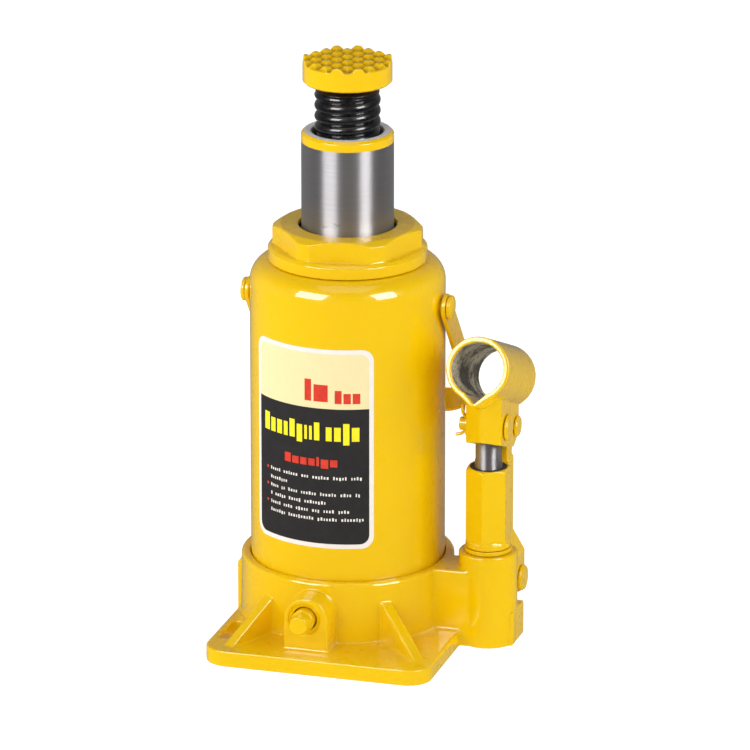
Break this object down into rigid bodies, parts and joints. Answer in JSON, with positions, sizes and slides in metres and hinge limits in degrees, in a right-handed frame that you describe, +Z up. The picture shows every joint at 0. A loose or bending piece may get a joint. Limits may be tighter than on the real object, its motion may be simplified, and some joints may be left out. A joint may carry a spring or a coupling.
{
  "type": "hydraulic bottle jack",
  "caption": "Yellow hydraulic bottle jack: round oil tank on a cast base, raised steel ram, black extension screw, studded saddle, side pump with a tilted handle socket, rear bail handle.",
  "frame": {"origin": "on the ram axis at the underside of the base", "axes": "+Z up along the ram, -Y towards the front where the release valve and the mouth of the handle socket are, +X towards the pump"},
  "size_m": [0.1323, 0.1444, 0.267],
  "materials": {
    "yellow_enamel": "gloss",
    "ground_steel": "satin",
    "black_oxide_steel": "gloss",
    "turned_steel": "satin",
    "bearing_steel": "polished",
    "nitrile_rubber": "matte",
    "urethane": "satin",
    "brass": "satin",
    "copper": "satin",
    "label_film": "gloss"
  },
  "bodies": {
    "base": {"base_casting": "yellow_enamel", "tank_gasket_lower": "nitrile_rubber", "reservoir_tank": "yellow_enamel", "tank_gasket_upper": "nitrile_rubber", "cylinder_gasket": "copper", "pressure_cylinder": "turned_steel", "top_nut": "yellow_enamel", "ram_wiper_seal": "nitrile_rubber", "rating_label": "label_film", "filler_plug": "nitrile_rubber", "carry_handle_rivet_right": "yellow_enamel", "carry_handle_rivet_left": "yellow_enamel", "pump_cylinder_washer": "yellow_enamel", "pump_cylinder": "yellow_enamel", "pump_wiper_seal": "nitrile_rubber", "link_foot_pin": "yellow_enamel", "link_foot_split_pin": "yellow_enamel", "inlet_check_spring": "turned_steel", "outlet_check_spring": "turned_steel", "inlet_check_plug": "black_oxide_steel", "outlet_check_plug": "black_oxide_steel", "relief_valve_spring": "turned_steel", "relief_valve_screw": "brass", "suction_strainer": "brass"},
    "ram": {"ram": "ground_steel", "ram_guide_ring": "brass", "ram_cup_seal": "urethane", "ram_seal_retainer": "turned_steel"},
    "screw_stop": {"screw_stop_ring": "turned_steel"},
    "screw": {"extension_screw": "black_oxide_steel", "saddle_pad": "yellow_enamel"},
    "link": {"connecting_link": "yellow_enamel", "link_top_pin": "yellow_enamel", "link_top_split_pin": "yellow_enamel"},
    "socket": {"handle_socket": "yellow_enamel"},
    "plunger": {"pump_plunger": "ground_steel", "plunger_cup_seal": "urethane", "plunger_pin": "yellow_enamel", "plunger_pin_washer": "yellow_enamel", "plunger_split_pin": "yellow_enamel"},
    "carry_handle": {"carry_handle": "yellow_enamel"},
    "valve_ball": {"release_valve_ball": "bearing_steel"},
    "valve_spindle": {"release_valve_spindle": "yellow_enamel", "release_valve_seal": "nitrile_rubber"},
    "inlet_ball": {"inlet_check_ball": "bearing_steel"},
    "outlet_ball": {"outlet_check_ball": "bearing_steel"},
    "relief_ball": {"relief_valve_ball": "bearing_steel"}
  },
  "joints": [
    {"name": "ram_lift", "type": "slide", "parent": "base", "child": "ram", "axis": [0, 0, 1], "range_m": [-0.04, 0.085]},
    {"name": "screw_travel", "type": "slide", "parent": "ram", "child": "screw_stop", "axis": [0, 0, 1], "range_m": [-0.021, 0.039]},
    {"name": "screw_turn", "type": "hinge", "parent": "screw_stop", "child": "screw", "pos_m": [0, 0, 0.2], "axis": [0, 0, 1], "range_deg": [-1500, 2790]},
    {"name": "link_swing", "type": "hinge", "parent": "base", "child": "link", "pos_m": [0.0672, 0.012, 0.0252], "axis": [1, 0, 0], "range_deg": [-1.5, 1.4]},
    {"name": "pump_handle", "type": "hinge", "parent": "link", "child": "socket", "pos_m": [0.0672, 0.012, 0.0974], "axis": [1, 0, 0], "range_deg": [-26, 25]},
    {"name": "pump_stroke", "type": "slide", "parent": "base", "child": "plunger", "axis": [0, 0, -1], "range_m": [-0.00707, 0.0068]},
    {"name": "carry_handle_swing", "type": "hinge", "parent": "base", "child": "carry_handle", "pos_m": [0, 0, 0.1548], "axis": [1, 0, 0], "range_deg": [0, 112]},
    {"name": "release_valve_travel", "type": "slide", "parent": "base", "child": "valve_ball", "axis": [0, -1, 0], "range_m": [0, 0.0031]},
    {"name": "release_valve_turn", "type": "hinge", "parent": "valve_ball", "child": "valve_spindle", "pos_m": [-0.0024, -0.055, 0.022], "axis": [0, -1, 0], "range_deg": [0, 720]},
    {"name": "inlet_ball_lift", "type": "slide", "parent": "base", "child": "inlet_ball", "axis": [0, 0, -1], "range_m": [0, 0.001], "stiffness_N_per_m": 150, "deforming": ["inlet_check_spring"]},
    {"name": "outlet_ball_lift", "type": "slide", "parent": "base", "child": "outlet_ball", "axis": [0, 0, -1], "range_m": [0, 0.001], "stiffness_N_per_m": 150, "deforming": ["outlet_check_spring"]},
    {"name": "relief_ball_lift", "type": "slide", "parent": "base", "child": "relief_ball", "axis": [-1, 0, 0], "range_m": [0, 0.0006], "stiffness_N_per_m": 400}
  ],
  "couplings": [
    {"joint": "screw_travel", "follows": "screw_turn", "m_per_rad": 0.00079577},
    {"joint": "link_swing", "follows": "pump_stroke", "rad_per_m": -3.1987},
    {"joint": "pump_handle", "follows": "pump_stroke", "rad_per_m": 64.103},
    {"joint": "release_valve_travel", "follows": "release_valve_turn", "m_per_rad": 0.00023873}
  ]
}
